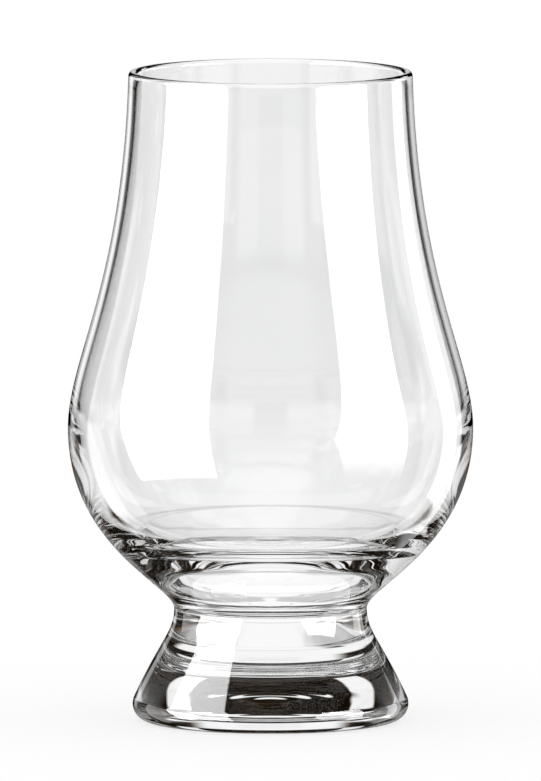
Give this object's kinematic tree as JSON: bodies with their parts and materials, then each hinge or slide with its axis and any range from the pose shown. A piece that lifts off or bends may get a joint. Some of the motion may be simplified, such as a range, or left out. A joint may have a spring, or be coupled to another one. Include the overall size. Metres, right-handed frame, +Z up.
{
  "type": "whisky nosing glass",
  "caption": "Clear nosing glass: a tulip-shaped blown bowl with a narrow mouth and rounded belly, on a short, solid, flared foot.",
  "frame": {"origin": "centre of the foot, on the plane that the glass stands on", "axes": "+Z up the axis of the glass, from the foot to the mouth; the glass is round, so X and Y are any two level directions"},
  "size_m": [0.0684, 0.0684, 0.11],
  "materials": {
    "bowl_glass": "clear, fire-polished",
    "foot_glass": "clear, polished"
  },
  "bodies": {
    "root": {"bowl": "bowl_glass", "foot": "foot_glass"}
  },
  "joints": []
}
